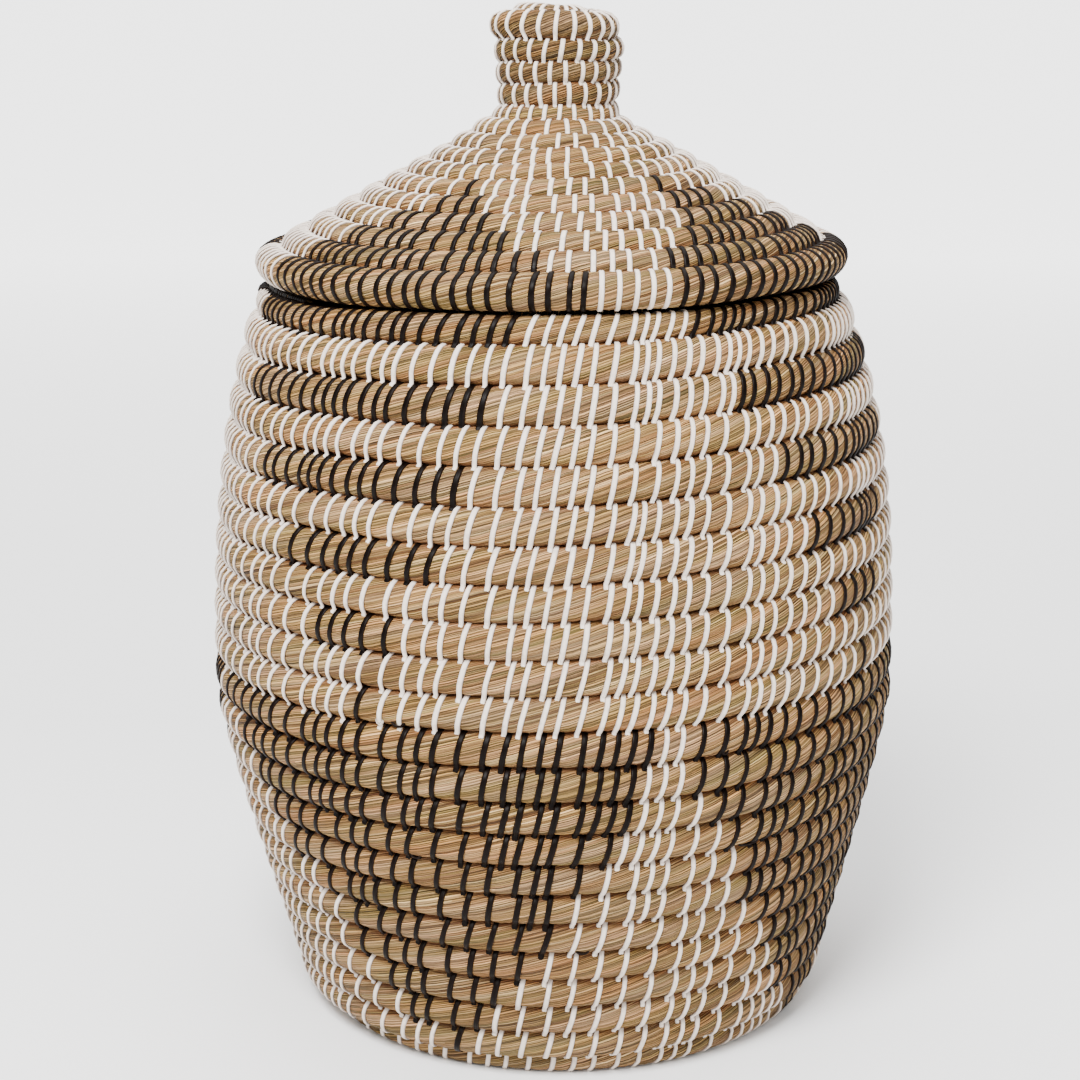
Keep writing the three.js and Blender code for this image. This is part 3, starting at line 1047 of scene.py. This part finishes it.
# %% [markdown]
# ## Ends in the seams
#
# Where the colour changes, the maker leaves the end of the strip that rests inside the roll.
# Here and there a bit of it comes out and lies in the seam. At the mouth a few turns of black
# strip tie the roll's tail to the row under it, and a few more are wound round its very end.
# Such bits are small, but they show that a hand did the work, so each one sits where the
# picture has it.

# %% Ends of strips
end_wide, tie_wide = 2.2, 3.2
end_lift, end_drop = 0.9, 2.4
seam_phi, seam_bend, seam_points = 38, 50, 9
# each end: row from the mouth, degrees to the right of the front, and length
loose_ends = [
    ("black", black_finish, [(18, 4.4, 7), (11, -24.4, 8), (15, 33.5, 15), (12, 27.3, 4),
                             (13, 39.9, 5), (15, -23.4, 6)]),
    ("white", white_finish, [(11, -27.6, 3.5)]),
]


def trim(name, turn, phi, lift, wide, finish):
    """Bits of strip on the basket's roll, each along its own turns and angles."""
    lay_strips(name, body.skin(turn, phi, lift), body.skin(turn, phi, lift + 1),
               np.full((len(turn), 1), wide), body.random[:len(turn)], outer_bow, finish, "basket")


for color, finish, spots in loose_ends:
    row, where, length = np.array(spots).T[:, :, None]
    turn = first_row - row + where / 360
    along_seam = np.linspace(-0.5, 0.5, seam_points)
    turn = turn + along_seam * length / (2 * math.pi * body.place(turn)[0])
    phi = body.contacts(turn)[1] + np.radians(seam_phi + seam_bend * along_seam ** 2)
    lift = end_lift - end_drop * (2 * along_seam) ** 4 + 0 * turn
    trim(f"basket_{color}_ends", turn, phi, lift, end_wide, finish)

# %% The tail's ties and its end
tie_count, tie_step, ties_from = 12, 1.08, -90
tie_top, first_tie_low, last_tie_low, tie_points = 120, -6, 70, 9
tie_lean, tie_lift, tie_drop = 4.0, 1.2, 2.2
end_count, end_points, end_wrap_lift = 5, 13, 0.2

ties = first_row - 1 + (np.arange(tie_count)[:, None] * tie_step + ties_from) / 360
tie_low = np.linspace(first_tie_low, last_tie_low, tie_count)
over = np.radians(np.linspace(tie_top, tie_low, tie_points).T)
turn = body.slant(ties, over, tie_lean)
lift = tie_lift - tie_drop * np.linspace(-1, 1, tie_points) ** 6 + 0 * turn
trim("basket_black_tail_ties", turn, over, lift, tie_wide, black_finish)

turn = wall_rows - np.arange(end_count)[:, None] / 360 + np.zeros(end_points)
around = np.broadcast_to(np.radians(np.linspace(150, -90, end_points)), turn.shape)
trim("basket_black_tail_end", turn, around, np.full(turn.shape, end_wrap_lift), tie_wide,
     black_finish)

# %% [markdown]
# ## The lid
#
# The lid's roll starts at the rim and thins as it climbs. The knob is the same roll, wound
# upright and closed by a low dome. It sits where the solid lid sits.

# %% Bind the lid
lid_shift = rim_roll * math.cos(cone_slope) / 4
lid_seat = 442.05
lid_turns_known = [0, 1, 2, 3, 4, 5, 6, 7, 8, 9, 10, 11, 16.6]
lid_stitches_known = [113, 105, 91, 79, 69, 60, 52, 43, 36, 30, 25, 23, 21]


def lid_stitches(turn):
    return float(np.interp(turn, lid_turns_known, lid_stitches_known))


lid_roll = Roll(lid_place, 0.0, lid_turns, lid_stitches,
                lean=lambda turn: max(3.2 - 0.24 * turn, 0.6),
                pull=lambda turn: 0.75 if turn < 6 else 0.55,
                black=lid_black, seed=21, shift=(lid_shift, lid_seat))
knob_cut = int(np.searchsorted(lid_roll.turns, knob_turn))
cone_piece = roll_piece("grass_lid_cone", lid_roll, 0, knob_cut, "lid")
knob_piece = roll_piece("grass_knob", lid_roll, knob_cut, len(lid_roll.turns) - 1, "lid",
                        twist=0.055, finish=worn_finish)
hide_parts("lid_coil")
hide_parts("knob_coil")
dress("lid", lid_roll, "lid", 1)
solid_low = float(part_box("lid_coil")[0].z) / mm
lid_low = min(v.co.z for v in cone_piece.data.vertices) / mm
print(f"lowest point: solid lid {solid_low:.1f} mm, this lid {lid_low:.1f} mm")

# %% [markdown]
# ## The collar
#
# Under the lid hangs a collar of two turns, which keeps it over the mouth. It is wrapped in
# black from end to end, because the gap between lid and basket is black in the picture: the
# black is painted shade, a dark wrapping put where there is shade in that gap. The rest of it
# shows when the lid is lifted.

# %% Bind the collar
collar_size, collar_turns, collar_tail = 14.0, 2.0, 0.25
collar_radius, collar_stitches = 136.0, 290.0
collar_top = float(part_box("lid_collar_coil")[1].z) / mm


def collar_place(turn):
    """The same for the collar as body_place for the basket."""
    low = (turn - collar_turns) * collar_size
    high = np.minimum(low + collar_size, 0)
    level = 0 * turn
    angle = rim_tail_angle + 2 * math.pi * turn
    return (collar_radius + level, (low + high) / 2, math.pi / 2 + level,
            (high - low) / 2 + squeeze, collar_size / 2 + level, angle)


# painted shade: every stitch of the collar is black, and so close that no grass shows, to stand in
# for the shade in the gap under the lid
collar = Roll(collar_place, 0.0, collar_turns - collar_tail, lambda turn: collar_stitches,
              lean=lambda turn: 3.0, pull=lambda turn: 0.9, black=lambda turn, degrees: True,
              seed=33, shift=(0.0, collar_top))
collar_piece = roll_piece("grass_collar", collar, 0, len(collar.turns) - 1, "lid")
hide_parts("lid_collar_coil")
dress("collar", collar, "lid", 1)

# %% [markdown]
# ## The floor's paper
#
# White card with the faintest tooth, so that the basket stands on something. Behind the basket
# the card is lit from its back, as paper in a studio often is, and it runs on until no edge
# shows. The finish gives it that light as a glow, which grows from just behind the basket.

# %% Floor finish
tooth_per_metre = 420.0
glow_from, glow_full, glow_strength = 0.5, 3.5, 2.4


def card():
    made, m = new_material("pale_card")
    x, y, _ = split(m, m.node("ShaderNodeTexCoord", out=3))
    tooth = grain(m, x * tooth_per_metre, y * tooth_per_metre, detail=3.0)
    glow = y.between(glow_from, glow_full) * glow_strength
    return shaded(m, made, {"Base Color": mixed(m, tooth, tone(250, 250, 250), tone(244, 244, 244)),
                            "Roughness": 0.9, "Emission Color": at(m, glow, glow, glow),
                            "Emission Strength": 1.0})


floor.data.materials.append(card())
